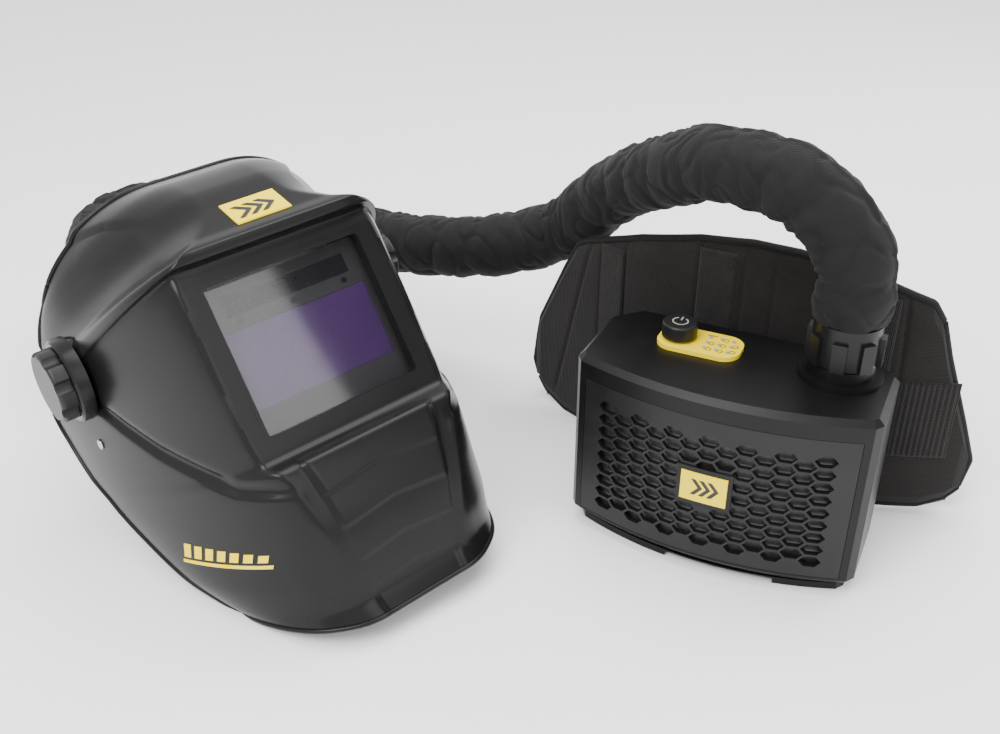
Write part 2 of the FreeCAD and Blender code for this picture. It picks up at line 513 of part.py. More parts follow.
def fan():
    """Radial fan: volute with its outlet upward, motor behind, impeller on the motor's shaft."""
    def volute(grow, y0, y1):
        disc = cyl(33 + grow, y1 - y0, V(FAN_X, y0, FAN_Z), V(0, 1, 0))
        return disc.fuse(box(FAN_X + 2, OUTLET_X + 15.5 + grow, y0, y1, FAN_Z + 3, CASE_H - 11))
    scroll = volute(2, 3, 35).cut(volute(0, 5, 33).cut(box(0, 100, 0, 50, CASE_H - 14, CASE_H)))
    scroll = scroll.cut(cyl(18, 6, V(FAN_X, 0, FAN_Z), V(0, 1, 0)))
    scroll = scroll.cut(cyl(13.8, 8, V(OUTLET_X, OUTLET_Y + 2, CASE_H - 16)))
    scroll = scroll.cut(cyl(3.05, 8, V(FAN_X, 30, FAN_Z), V(0, 1, 0)))
    NODES["fan_scroll"] = scroll
    wheel = cyl(FAN_R, 1.6, V(FAN_X, 27, FAN_Z), V(0, 1, 0)).fuse(cyl(6, 12, V(FAN_X, 16, FAN_Z), V(0, 1, 0)))
    for k in range(12):
        blade = box(FAN_X + 9, FAN_X + FAN_R - 0.5, 10, 28, FAN_Z - 0.6, FAN_Z + 0.6)
        blade.rotate(V(FAN_X + 14, 0, FAN_Z), V(0, 1, 0), 30)
        blade.rotate(V(FAN_X, 0, FAN_Z), V(0, 1, 0), 30 * k)
        wheel = wheel.fuse(blade)
    wheel = wheel.fuse(cyl(3, 18, V(FAN_X, 20, FAN_Z), V(0, 1, 0)))
    NODES["impeller"] = wheel
    motor = cyl(15, 8.4, V(FAN_X, 35.3, FAN_Z), V(0, 1, 0))
    NODES["fan_motor"] = motor.cut(cyl(3.05, 5, V(FAN_X, 34, FAN_Z), V(0, 1, 0)))


def lugged_nut(height):
    """A bayonet nut on the Z axis with grip lugs round its lower half."""
    nut = ring(NUT_R, CUFF_R + 1, 0, height)
    for k in range(8):
        lug = box(NUT_R - 0.7, NUT_R + 2.6, -4.5, 4.5, 0, height * 0.7)
        lug.rotate(V(0, 0, 0), V(0, 0, 1), 45 * k)
        nut = nut.fuse(lug)
    return nut


# ---- belt ----
# The pad's curve seen from above (x, y of its front face) and its outline seen from the front (x, z)
PAD_LINE = [(-196, 105), (-160, 91), (-120, 76), (-80, 66), (-40, 61), (0, 60), (40, 61), (80, 66),
            (120, 79), (158, 96)]
PAD_EDGE = [(-149, 157), (-161, 133), (-185, 80), (-191, 38), (-178, 14), (-158, 6), (0, 3), (124, 6),
            (140, 12), (151, 27), (152, 45), (142, 76), (124, 128), (116, 155), (108, 168), (72, 182),
            (20, 193), (-12, 194), (-49, 190), (-94, 179), (-139, 163)]


def pad_layer(depth0, depth1, z0, z1, x0=-300, x1=300):
    def line(depth):
        curve = Part.BSplineCurve()
        curve.interpolate([V(x, y + depth, z0) for x, y in PAD_LINE])
        return curve
    a, b = line(depth0), line(depth1)
    wire = Part.Wire([a.toShape(), Part.makeLine(a.EndPoint, b.EndPoint), b.toShape(),
                      Part.makeLine(a.StartPoint, b.StartPoint)])
    return Part.Face(wire).extrude(V(0, 0, z1 - z0)).common(box(x0, x1, 0, 200, z0, z1))


def belt():
    edge = prism([V(x, 0, z) for x, z in PAD_EDGE], V(0, 200, 0))
    NODES["belt_pad"] = pad_layer(0, PAD_T, 0, 200).common(edge)
    loops = [pad_layer(-1.5, -0.2, 22, 150, x - 11, x + 11) for x in (-136, -84)]
    NODES["belt_loops"] = Part.makeCompound(loops + [pad_layer(-1.5, -0.2, 22, 150, 68, 90)])
    NODES["side_patch"] = pad_layer(-1.5, -0.2, 50, 110, 96, 128)
    y = 176.0
    ends = []
    for side, x_tip, y_tip, x_mid in ((-1, -182, 113, -34), (1, 142, 104, 28)):
        a, b = Part.BSplineCurve(), Part.BSplineCurve()
        path = [(x_tip, y_tip), (x_tip - side * 4, y_tip + 24), (x_tip - side * 40, y - 10), (x_mid, y)]
        a.interpolate([V(px, py, 2) for px, py in path])
        b.interpolate([V(px + side * WEB_T * 0.7, py + WEB_T * 0.7, 2) for px, py in path])
        wire = Part.Wire([a.toShape(), Part.makeLine(a.EndPoint, b.EndPoint), b.toShape(),
                          Part.makeLine(a.StartPoint, b.StartPoint)])
        ends.append(Part.Face(wire).extrude(V(0, 0, WEB_W)))
    NODES["belt_webbing"] = Part.makeCompound(ends)
    socket = box(-33.7, 2, y - 5, y + 7, 0.6, 54).cut(box(-16, 3, y - 2.4, y + 4.4, 6, 48))
    NODES["buckle_socket"] = socket
    plug = box(8, 27.7, y - 5, y + 7, 0.6, 54)
    for z in (8, 23, 38):
        plug = plug.fuse(box(-12, 9, y - 2, y + 4, z, z + 8))
    NODES["buckle_plug"] = plug
    NODES["strap_slider"] = box(62, 70, 158, 180, 0.4, 56).cut(box(61, 71, 166.5, 174.5, 1.4, 54.6))


# ---- hose ----
def to_row(shape, yaw):
    placed = shape.copy()
    placed.Placement = Placement(V(0, 0, 0), Rotation(V(0, 0, 1), -yaw)).multiply(placed.Placement)
    return placed


def hose():
    end, way = inlet_end()
    start = HELMET_POSE.multVec(end + way * (HEAD_NUT_H + 2 * GAP))
    outlet = Rotation(V(0, 0, 1), -BLOWER_YAW).multVec(V(OUTLET_X, OUTLET_Y, NUT_Z1 + GAP))
    last = outlet + V(0, 0, 44)
    points = [start] + HOSE_ROUTE + [last, outlet]
    wire, radii = rounded_route(points)
    direction = (points[1] - points[0]).normalize()
    NODES["hose_cover"] = sweep_tube(wire, COVER_R, COVER_R - COVER_WALL, start, direction)
    NODES["breathing_hose"] = sweep_tube(wire, HOSE_R, HOSE_R - HOSE_WALL, start, direction)
    area = math.pi * (COVER_R ** 2 - (COVER_R - COVER_WALL) ** 2)
    print("hose length %.0f, bend radii %s, volume/(section x length) %.3f"
          % (wire.Length, radii, NODES["hose_cover"].Volume / (area * wire.Length)))
    print("hose points", [tuple(round(c, 1) for c in p) for p in points])


def main():
    helmet()
    headgear()
    end, way = inlet_end()
    nut = lugged_nut(HEAD_NUT_H)
    nut.Placement = Placement(end + way * GAP, Rotation(V(0, 0, 1), way))
    NODES["head_nut"] = nut
    for name in NODES:
        NODES[name].Placement = HELMET_POSE.multiply(NODES[name].Placement)
    head = set(NODES)
    blower()
    belt()
    for name in NODES:
        if name not in head:
            NODES[name] = to_row(NODES[name], BLOWER_YAW)
    hose()
    for name, shape in NODES.items():
        if not shape.isValid() or shape.Volume < 1:
            print("check", name, shape.isValid(), shape.Volume)
        print("%-20s solids %2d  volume %8.0f  lowest %6.1f"
              % (name, len(shape.Solids), shape.Volume, shape.BoundBox.ZMin))
        shape.exportStep("parts/%s.step" % name)


main()
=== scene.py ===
"""Powered air respirator: the looks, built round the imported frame. Metres, +Z up."""

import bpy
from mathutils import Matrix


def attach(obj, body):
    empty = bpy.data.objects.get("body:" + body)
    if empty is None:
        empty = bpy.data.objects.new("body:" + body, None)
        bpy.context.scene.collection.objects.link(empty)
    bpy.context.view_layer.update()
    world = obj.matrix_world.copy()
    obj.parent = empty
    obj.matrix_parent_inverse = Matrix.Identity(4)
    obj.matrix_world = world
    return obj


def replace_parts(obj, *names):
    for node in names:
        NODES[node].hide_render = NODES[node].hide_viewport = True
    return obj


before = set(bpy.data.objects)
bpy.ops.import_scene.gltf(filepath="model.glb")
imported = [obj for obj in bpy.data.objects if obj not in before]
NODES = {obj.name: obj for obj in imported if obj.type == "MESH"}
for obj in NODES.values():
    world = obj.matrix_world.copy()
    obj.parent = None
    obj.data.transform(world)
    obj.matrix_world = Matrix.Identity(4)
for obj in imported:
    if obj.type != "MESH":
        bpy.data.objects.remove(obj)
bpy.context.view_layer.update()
import math

import bmesh
import bpy
import numpy as np
from mathutils import Matrix, Vector, noise
from mathutils.bvhtree import BVHTree

MM = 0.001           # the object's sizes below are in millimetres, the floor and lights in metres
CREASE = 35.0        # edges sharper than this stay sharp, degrees

# ---- poses of the sub-assemblies, as in the CAD ----
HELMET_AT = np.array([-350.0, 79.0, 130.1])
HELMET_YAW, HELMET_PITCH, HELMET_ROLL = 38.5, 22.3, 4.0
BLOWER_YAW = 26.0


def turn(axis, degrees):
    return np.array(Matrix.Rotation(math.radians(degrees), 3, axis))


HELMET_TURN = turn("Z", HELMET_YAW - 90) @ turn("Y", -HELMET_PITCH) @ turn("X", HELMET_ROLL)
BLOWER_TURN = turn("Z", -BLOWER_YAW)


def helmet_to_row(points):
    return (np.asarray(points, float) @ HELMET_TURN.T + HELMET_AT) * MM


def blower_to_row(points):
    return np.asarray(points, float) @ BLOWER_TURN.T * MM


# ---- camera ----
EYE = np.array([-154.8, -632.0, 499.0])
EYE_DOWN = 30        # degrees below the level
camera = bpy.data.objects.new("camera", bpy.data.cameras.new("camera"))
camera.data.lens, camera.data.sensor_width = 40.0, 36.0
camera.location = EYE * MM
camera.rotation_euler = (math.radians(90 - EYE_DOWN), 0, 0)
camera.data.clip_start = 0.05
bpy.context.scene.collection.objects.link(camera)
bpy.context.scene.camera = camera


# ---- materials ----
def material(name, colour, rough=0.5, vary=0.25, grain=60.0, bump=0.0, bump_scale=900.0, weave=0.0,
             weave_scale=700.0, **sockets):
    """A procedural surface: cloudy colour and roughness, with a fine bump or a two-way weave."""
    m = bpy.data.materials.new(name)
    m.use_nodes = True
    tree, shader = m.node_tree, m.node_tree.nodes["Principled BSDF"]
    link = tree.links.new

    def node(kind, **inputs):
        n = tree.nodes.new(kind)
        for key, value in inputs.items():
            n.inputs[key].default_value = value
        return n

    place = tree.nodes.new("ShaderNodeTexCoord")
    cloud = node("ShaderNodeTexNoise", Scale=grain, Detail=4.0)
    link(place.outputs["Object"], cloud.inputs["Vector"])
    ramp = tree.nodes.new("ShaderNodeValToRGB")
    low, high = (tuple(min(1.0, c * k) for c in colour) + (1,) for k in (1 - vary, 1 + vary))
    ramp.color_ramp.elements[0].position, ramp.color_ramp.elements[1].position = 0.3, 0.7
    ramp.color_ramp.elements[0].color, ramp.color_ramp.elements[1].color = low, high
    link(cloud.outputs["Fac"], ramp.inputs["Fac"])
    link(ramp.outputs["Color"], shader.inputs["Base Color"])
    spread = tree.nodes.new("ShaderNodeMapRange")
    spread.inputs["To Min"].default_value = max(0.02, rough * 0.88)
    spread.inputs["To Max"].default_value = min(1.0, rough * 1.12)
    link(cloud.outputs["Fac"], spread.inputs["Value"])
    link(spread.outputs["Result"], shader.inputs["Roughness"])
    height = None
    if bump:
        height = node("ShaderNodeTexNoise", Scale=bump_scale, Detail=2.0).outputs["Fac"]
        link(place.outputs["Object"], height.node.inputs["Vector"])
    if weave:
        waves = []
        for direction in ("X", "Z"):
            w = node("ShaderNodeTexWave", Scale=weave_scale, Distortion=0.6)
            w.bands_direction = direction
            link(place.outputs["Object"], w.inputs["Vector"])
            waves.append(w.outputs["Fac"])
        both = tree.nodes.new("ShaderNodeMath")
        both.operation = "ADD"
        link(waves[0], both.inputs[0])
        link(waves[1], both.inputs[1])
        height = both.outputs[0]
    if height is not None:
        b = node("ShaderNodeBump", Strength=bump or weave, Distance=0.0004)
        link(height, b.inputs["Height"])
        link(b.outputs["Normal"], shader.inputs["Normal"])
    for key, value in sockets.items():
        shader.inputs[key.replace("_", " ")].default_value = value
    return m


SHELL = material("shell black", (0.006, 0.006, 0.0065), 0.25, 0.12, 20, bump=0.03, bump_scale=1500,
                 Specular_IOR_Level=0.2)
CASE = material("case black", (0.005, 0.005, 0.0055), 0.36, 0.15, 40, bump=0.2, bump_scale=2200,
                Specular_IOR_Level=0.2)
CASE_GLOSS = material("case gloss", (0.006, 0.006, 0.0065), 0.34, 0.15, 40, bump=0.05,
                      Specular_IOR_Level=0.25)
GRILLE = material("grille black", (0.007, 0.007, 0.0075), 0.42, 0.2, 50, bump=0.15, bump_scale=1800,
                  Specular_IOR_Level=0.3)
KNOB = material("knob black", (0.009, 0.009, 0.0095), 0.4, 0.15, 50, bump=0.15, bump_scale=1500,
                Specular_IOR_Level=0.3)
YELLOW = material("badge yellow", (0.92, 0.69, 0.0), 0.45, 0.03, 30, Specular_IOR_Level=0.2)
INK = material("ink black", (0.012, 0.012, 0.012), 0.5, 0.2, 200)
RED_INK = material("ink red", (0.55, 0.08, 0.02), 0.5, 0.1, 200)
CLOTH = material("nylon cloth", (0.0045, 0.0045, 0.005), 0.75, 0.3, 90, weave=0.5, weave_scale=420,
                 Sheen_Weight=0.04, Sheen_Roughness=0.4, Specular_IOR_Level=0.25)
PAD_CLOTH = material("pad cloth", (0.0085, 0.0072, 0.0066), 0.85, 0.3, 60, weave=0.7, weave_scale=300,
                     Sheen_Weight=0.05, Sheen_Roughness=0.5, Specular_IOR_Level=0.25)
WEBBING = material("webbing", (0.0105, 0.009, 0.0085), 0.75, 0.3, 80, weave=0.9, weave_scale=260,
                   Sheen_Weight=0.05, Specular_IOR_Level=0.25)
BINDING = material("binding", (0.006, 0.0055, 0.0052), 0.7, 0.3, 150, weave=0.6, weave_scale=500,
                   Specular_IOR_Level=0.25)
FOAM = material("padded cloth", (0.05, 0.05, 0.055), 0.9, 0.2, 80, weave=0.4, weave_scale=350)
NYLON = material("moulded nylon", (0.03, 0.03, 0.032), 0.45, 0.15, 60, bump=0.1)
DUCT = material("duct grey", (0.03, 0.03, 0.031), 0.5, 0.1, 60, bump=0.08)
RUBBER = material("rubber", (0.015, 0.015, 0.015), 0.65, 0.2, 90, bump=0.1)
STEEL = material("zinc plate", (0.5, 0.5, 0.5), 0.3, 0.1, 150, bump=0.05, Metallic=1.0)
MEDIA = material("filter paper", (0.75, 0.74, 0.7), 0.9, 0.06, 200, bump=0.3)
ARRESTOR = material("arrestor steel", (0.06, 0.06, 0.06), 0.45, 0.3, 250, bump=0.3, bump_scale=500,
                    Metallic=0.7)
FRAME_GREY = material("cartridge grey", (0.045, 0.042, 0.045), 0.45, 0.08, 60, bump=0.08)
LCD = material("filter violet", (0.1, 0.035, 0.18), 0.12, 0.2, 14)
SOLAR = material("solar cell", (0.006, 0.005, 0.009), 0.2, 0.4, 250, Specular_IOR_Level=0.3)
BOARD = material("circuit board", (0.02, 0.1, 0.04), 0.5, 0.2, 200)
LAMP = material("lamp grey", (0.3, 0.3, 0.28), 0.4, 0.1, 200)


def clear_plastic():
    m = bpy.data.materials.new("clear cover")
    m.use_nodes = True
    tree, shader = m.node_tree, m.node_tree.nodes["Principled BSDF"]
    shader.inputs["Base Color"].default_value = (0.01, 0.01, 0.012, 1)
    shader.inputs["Alpha"].default_value = 0.32
    shader.inputs["Specular IOR Level"].default_value = 1.0
    shader.inputs["Coat Weight"].default_value = 1.0
    cloud = tree.nodes.new("ShaderNodeTexNoise")
    cloud.inputs["Scale"].default_value = 12.0
    spread = tree.nodes.new("ShaderNodeMapRange")
    spread.inputs["To Min"].default_value, spread.inputs["To Max"].default_value = 0.03, 0.09
    tree.links.new(cloud.outputs["Fac"], spread.inputs["Value"])
    tree.links.new(spread.outputs["Result"], shader.inputs["Roughness"])
    return m


CLEAR = clear_plastic()


# ---- mesh helpers ----
def make(name, verts, faces, mat, body=None, smooth=True, replaces=()):
    """A mesh piece on a body; pieces of the shell are kept from sinking into the floor."""
    mesh = bpy.data.meshes.new(name)
    lowest = 0.0 if body == "shell" else -math.inf
    points = [(x, y, max(z, lowest)) for x, y, z in verts]
    mesh.from_pydata(points, [], [tuple(int(i) for i in f) for f in faces])
    mesh.validate()
    if smooth:
        mesh.shade_smooth()
    mesh.materials.append(mat)
    obj = bpy.data.objects.new(name, mesh)
    bpy.context.scene.collection.objects.link(obj)
    if body:
        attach(obj, body)
    for node in replaces:
        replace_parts(obj, node)
    return obj


def grid_faces(rows, cols, start=0, wrap=False, flip=False):
    i, j = np.meshgrid(np.arange(rows - 1), np.arange(cols if wrap else cols - 1), indexing="ij")
    k = (j + 1) % cols
    quads = np.stack([i * cols + j, i * cols + k, (i + 1) * cols + k, (i + 1) * cols + j], -1)
    quads = quads.reshape(-1, 4) + start
    return quads[:, ::-1] if flip else quads


def sheet_faces(rows, cols):
    """Faces of a closed sheet: a front grid, a back grid after it and the four edges between them."""
    n, last = rows * cols, (rows - 1) * cols
    i, j = np.arange(rows - 1) * cols, np.arange(cols - 1)
    right = i + cols - 1
    edges = [np.stack([j + 1, j, n + j, n + j + 1], 1),
             np.stack([last + j, last + j + 1, n + last + j + 1, n + last + j], 1),
             np.stack([i, i + cols, n + i + cols, n + i], 1),
             np.stack([right + cols, right, n + right, n + right + cols], 1)]
    return np.concatenate([grid_faces(rows, cols), grid_faces(rows, cols, start=n, flip=True)] + edges)


def prism_faces(n):
    """Faces of a bar whose two ends are outlines of n points."""
    sides = [(i, (i + 1) % n, n + (i + 1) % n, n + i) for i in range(n)]
    return [tuple(range(n))[::-1], tuple(range(n, 2 * n))] + sides


def sharpen(obj):
    """Smooth shading with creases kept, as on a moulded part."""
    obj.data.shade_smooth()
    edge = obj.modifiers.new("creases", "EDGE_SPLIT")
    edge.split_angle = math.radians(CREASE)


def tube(name, path, radius, mat, body):
    """A round bead along a closed line."""
    sides = 10
    path = np.asarray(path, float)
    forward = np.roll(path, -1, 0) - np.roll(path, 1, 0)
    forward /= np.linalg.norm(forward, axis=1)[:, None]
    side = np.cross(forward, np.where(abs(forward[:, 2:]) < 0.9, [[0, 0, 1.0]], [[0, 1.0, 0]]))
    side /= np.linalg.norm(side, axis=1)[:, None]
    up = np.cross(side, forward)
    a = np.linspace(0, 2 * math.pi, sides, endpoint=False)
    circle = np.cos(a)[None, :, None] * side[:, None] + np.sin(a)[None, :, None] * up[:, None]
    verts = path[:, None] + radius * circle
    last = (len(path) - 1) * sides
    faces = [tuple(f) for f in grid_faces(len(path), sides, wrap=True)]
    faces += [(last + j, last + (j + 1) % sides, (j + 1) % sides, j) for j in range(sides)]
    make(name, verts.reshape(-1, 3), faces, mat, body)


# ---- the hose: one fixed length on a smooth route ----
HOSE_POINTS = np.array([
    (-441.8, 179.0, 124.5), (-496, 222, 113), (-512, 290, 113), (-452, 348, 114), (-350, 324, 110),
    (-244, 246, 114), (-171, 206, 127), (-105, 195, 146), (-65, 149, 205), (-12, 54, 257), (32, 6, 258),
    (65.0, -12.8, 221.3), (65.0, -12.8, 177.3)], float)
FOLDS_R, OUTERMOST_R, LINING_R = 24.3, 27.5, 20.6
FOLD = 31            # from one fold to the next
SEAM_AT, SEAM_W = 1.9, 0.07     # the lengthwise seam, radians round the cover
GRIP, GRIP_L = 2.2, 7.0         # how far and over what length the cover is pulled in at its ends


def rounded(points, step=2.0):
    """The route with its corners rounded as in the CAD, as closely spaced points."""
    line, at = [], points[0]
    for i in range(1, len(points) - 1):
        before, after = points[i] - points[i - 1], points[i + 1] - points[i]
        u, v = before / np.linalg.norm(before), after / np.linalg.norm(after)
        cut = 0.45 * min(np.linalg.norm(before), np.linalg.norm(after))
        half = math.acos(np.clip(u @ v, -1, 1)) / 2
        start, end = points[i] - u * cut, points[i] + v * cut
        radius = cut / math.tan(half)
        inward = (v - u) / np.linalg.norm(v - u)
        centre = points[i] + inward * radius / math.cos(half)
        n = max(2, int(np.linalg.norm(start - at) / step))
        line += [at + (start - at) * k / n for k in range(n)]
        n = max(4, int(2 * half * radius / step))
        spoke = (start - centre) / radius
        steps = [2 * half * k / n for k in range(n)]
        line += [centre + radius * (spoke * math.cos(t) + u * math.sin(t)) for t in steps]
        at = end
    n = max(2, int(np.linalg.norm(points[-1] - at) / step))
    line += [at + (points[-1] - at) * k / n for k in range(n + 1)]
    return np.array(line)


def even(line, count):
    """The line as count evenly spaced points, and its length."""
    at = np.concatenate([[0], np.cumsum(np.linalg.norm(np.diff(line, axis=0), axis=1))])
    want = np.linspace(0, at[-1], count)
    return np.stack([np.interp(want, at, line[:, c]) for c in range(3)], 1), at[-1]


def carried_frames(path):
    """Forward, right and up at each point of the path, turned no more than the path itself turns."""
    forward = np.gradient(path, axis=0)
    forward /= np.linalg.norm(forward, axis=1)[:, None]
    up = np.array([0, 0, 1.0])
    ups = []
    for f in forward:
        up = up - f * (up @ f)
        up /= np.linalg.norm(up)
        ups.append(up)
    ups = np.array(ups)
    return forward, np.cross(forward, ups), ups


def hose_cover():
    """The fabric cover, gathered in slanting folds that deepen on the inside of each bend."""
    rings, sides = 620, 112
    path, length = even(rounded(HOSE_POINTS), rings)
    forward, right, up = carried_frames(path)
    bend = np.gradient(forward, axis=0) / (length / rings)
    angle = np.linspace(0, 2 * math.pi, sides, endpoint=False)
    verts = np.zeros((rings, sides, 3))
    for i in range(rings):
        s = length * i / (rings - 1)
        ends = min(s, length - s)
        for j, a in enumerate(angle):
            out = math.cos(a) * right[i] + math.sin(a) * up[i]
            inner = max(0.0, float(bend[i] @ out)) * 25
            c, d = math.cos(a), math.sin(a)
            slant = 9 * noise.noise(Vector((c * 0.8, d * 0.8, s / 90)))
            phase = (s + slant) / FOLD + 0.35 * noise.noise(Vector((c * 0.6 + 7, d * 0.6, s / 55)))
            lobe = abs(math.sin(math.pi * phase)) ** 0.55
            fine = noise.noise(Vector((c * 1.5, d * 1.5, (s + slant) / 7.0)))
            crease = 1 - min(1.0, abs(noise.noise(Vector((c * 1.1 + 3, d * 1.1, (s - slant) / 16)))) * 5)
            r = FOLDS_R + (1.9 + 2.2 * inner) * (lobe - 0.62) + 0.8 * fine - (1.3 + inner) * crease
            r += 1.5 * noise.noise(Vector((c * 0.7, d * 0.7 + 5, s / 70)))
            seam = (a - SEAM_AT + math.pi) % (2 * math.pi) - math.pi
            r += 1.2 * math.exp(-(seam / SEAM_W) ** 2)
            r -= GRIP * math.exp(-(ends / GRIP_L) ** 2)
            verts[i, j] = path[i] + out * min(r, OUTERMOST_R)
    circle = np.cos(angle)[None, :, None] * right[:, None] + np.sin(angle)[None, :, None] * up[:, None]
    lining = (path[:, None] + LINING_R * circle)[::6]
    all_verts = np.concatenate([verts.reshape(-1, 3), lining.reshape(-1, 3)]) * MM
    n = rings * sides
    faces = [grid_faces(rings, sides, wrap=True),
             grid_faces(len(lining), sides, start=n, wrap=True, flip=True)]
    j = np.arange(sides)
    k = (j + 1) % sides
    last_out, last_in = (rings - 1) * sides, n + (len(lining) - 1) * sides
    faces += [np.stack([k, j, n + j, n + k], 1),
              np.stack([last_out + j, last_out + k, last_in + k, last_in + j], 1)]
    obj = make("hose_cover_cloth", all_verts, np.concatenate(faces), CLOTH, "respirator",
               replaces=["hose_cover"])


hose_cover()

# ---- helmet shell ----
# One row per section from the crown rim to the chin rim: centre x, z; how far the inner wall lies behind
# it; half-width of the flat front; corner sharpness; half-width at the rear edge; rear edge x, z.
SECTIONS = np.array([
    (12, 105, 3, 26, 2.1, 108, -36, 50), (45, 102, 3, 24, 1.85, 113, -43, 38),
    (75, 92.5, 3, 24, 1.6, 117, -49, 24), (98, 78, 3, 28, 1.45, 120, -53, 11),
    (116, 66.5, 4, 44, 1.45, 122, -56, -1), (128, 60, 8, 62, 1.5, 123, -58, -11),
    (127, 55, 7, 66, 1.5, 123, -58, -17), (119, 50, 3, 68, 1.3, 123, -58, -23),
    (122, 40, 3, 69, 1.25, 123, -57, -30), (133, -10, 3, 70, 1.2, 122, -50, -50),
    (143, -57, 3, 69, 1.2, 121, -34, -74), (147, -70, 4, 67, 1.25, 120, -26, -82),
    (158, -78, 8, 62, 1.35, 119, -18, -89), (162, -92, 4, 58, 1.4, 118, -8, -98),
    (165, -122, 3, 50, 1.5, 114, 17, -119), (163, -152, 3, 42, 1.7, 108, 47, -142),
    (160, -174, 3, 36, 1.9, 99, 71, -159), (165, -187, 3, 32, 2.0, 91, 86, -170),
], float)
SHELL_T, BOW = 3.0, 1.25        # wall at the sides, and how the section bows back from its front
WINDOW_TILT, WINDOW_X, WINDOW_Z = 12.0, 133.0, -10.0
WINDOW_HOLE, HOLE_CORNER = (115.4, 102.4), 4.7
BOLT_HOLE = 10.1
RIM_R = 1.7          # bead round the shell's edge
RIVET_X, RIVET_Z = 6, -47
BOSS_R, BOSS_OUT, BOSS_IN = 29.5, 123.0, 113.5
MARK_X, MARK_Z, MARK_W, MARK_H = 64, -129, 74, 14     # the printed strip on the cheek


def evened(rows, count):
    """Every column of the table, respaced evenly along the profile by monotone cubics."""
    at = np.concatenate([[0], np.cumsum(np.hypot(np.diff(rows[:, 0]), np.diff(rows[:, 1])))])
    slope = np.diff(rows, axis=0) / np.diff(at)[:, None]
    m, n = slope[:-1], slope[1:]
    inner = np.where(m * n <= 0, 0, 2 * m * n / np.where(m + n == 0, 1, m + n))
    tangent = np.concatenate([slope[:1], inner, slope[-1:]])
    s = np.linspace(0, at[-1], count)
    i = np.clip(np.searchsorted(at, s, side="right") - 1, 0, len(at) - 2)
    h = (at[i + 1] - at[i])[:, None]
    t = ((s - at[i])[:, None]) / h
    return ((1 + 2 * t) * (1 - t) ** 2 * rows[i] + t * (1 - t) ** 2 * h * tangent[i]
            + t * t * (3 - 2 * t) * rows[i + 1] + t * t * (t - 1) * h * tangent[i + 1])


def shell_points(rows, across, inner=False):
    """The shell as a grid of points, in the helmet's own frame, from the wearer's right to left."""
    grid = []
    for x, z, back, flat, sharp, half, edge_x, edge_z in rows:
        if inner:
            run = math.hypot(edge_x - x, edge_z - z)
            x, z = x + (edge_x - x) * back / run, z + (edge_z - z) * back / run
            half, flat = half - SHELL_T, flat - 1.0
        theta = np.linspace(0, math.pi / 2, 61)
        f = 1 - np.cos(theta) ** BOW
        y = flat + (half - flat) * np.sin(theta) ** (2 / sharp)
        side = np.stack([x + (edge_x - x) * f, y, z + (edge_z - z) * f], 1)
        side = np.concatenate([[[x, 0, z]], side])
        left, _ = even(side, across // 2 + 1)
        right = left[:0:-1] * [1, -1, 1]
        grid.append(np.concatenate([right, left]))
    return np.array(grid)


def soft_step(value, width):
    t = np.clip(value / width * 0.5 + 0.5, 0, 1)
    return t * t * (3 - 2 * t)


def below(points, line):
    """How far below a line in the side view each point lies."""
    xs, zs = np.array(line, float).T
    order = np.argsort(xs)
    return np.interp(points[..., 0], xs[order], zs[order]) - points[..., 2]


CHEEK_LINE = [(-75, 30), (-40, 14), (2, -8), (40, -33), (72, -52), (105, -68), (130, -80), (170, -88)]
WING_TOP = [(-60, 74), (-10, 88), (30, 90), (70, 84), (100, 74), (126, 62)]
WING_LOW = [(-60, 42), (-10, 50), (30, 54), (70, 56), (100, 58), (126, 60)]


def style(points, normals):
    """Moulded lines of the outer surface: cheek step, hollows beside the brow and stepped chin panel."""
    y, z = abs(points[..., 1]), points[..., 2]
    # cheek step, with a groove along it
    drop = below(points, CHEEK_LINE)
    side = soft_step(y - 62, 10)
    push = side * (1.6 * soft_step(drop - 5, 2.5) - 2.0 * np.exp(-((drop - 0.5) / 4.0) ** 2))
    # hollows at the sides of the brow
    top, low = below(points, WING_TOP), -below(points, WING_LOW)
    wing = soft_step(top - 1, 3) * soft_step(low, 16) * soft_step(y - 58, 8)
    push -= 3.2 * wing * soft_step(points[..., 0] + 25, 50)
    # raised chin panel, stepping down towards the chin
    edge = np.interp(z, [-190, -150, -100, -74], [30, 35, 43, 48])
    panel = soft_step(edge - y, 2.0) * soft_step(-76 - z, 2.0)
    steps = sum(soft_step(level - z - 0.12 * y, 1.2) for level in (-94, -118, -143, -166))
    push += panel * (2.2 - 0.75 * steps)
    return points + normals * push[..., None]


def grid_normals(grid):
    du, dv = np.gradient(grid, axis=0), np.gradient(grid, axis=1)
    n = np.cross(dv, du)
    n /= np.linalg.norm(n, axis=-1)[..., None] + 1e-12
    if n[len(n) // 2, n.shape[1] // 2, 0] < 0:
        n = -n
    return n


def cutter(corners_round, size, depth0, depth1, at, axes):
    """A rounded bar for cutting an opening; size is across, depth along the third axis."""
    w, h = size
    outline = []
    for cx, cy, a0 in ((1, 1, 0), (-1, 1, 90), (-1, -1, 180), (1, -1, 270)):
        for k in range(7):
            a = math.radians(a0 + 15 * k)
            outline.append((cx * (w / 2 - corners_round) + corners_round * math.cos(a),
                            cy * (h / 2 - corners_round) + corners_round * math.sin(a)))
    verts = [at + axes[0] * x + axes[1] * y + axes[2] * d for d in (depth0, depth1) for x, y in outline]
    mesh = bpy.data.meshes.new("cutter")
    mesh.from_pydata([tuple(v) for v in verts], [], prism_faces(len(outline)))
    obj = bpy.data.objects.new("cutter", mesh)
    bpy.context.scene.collection.objects.link(obj)
    return obj


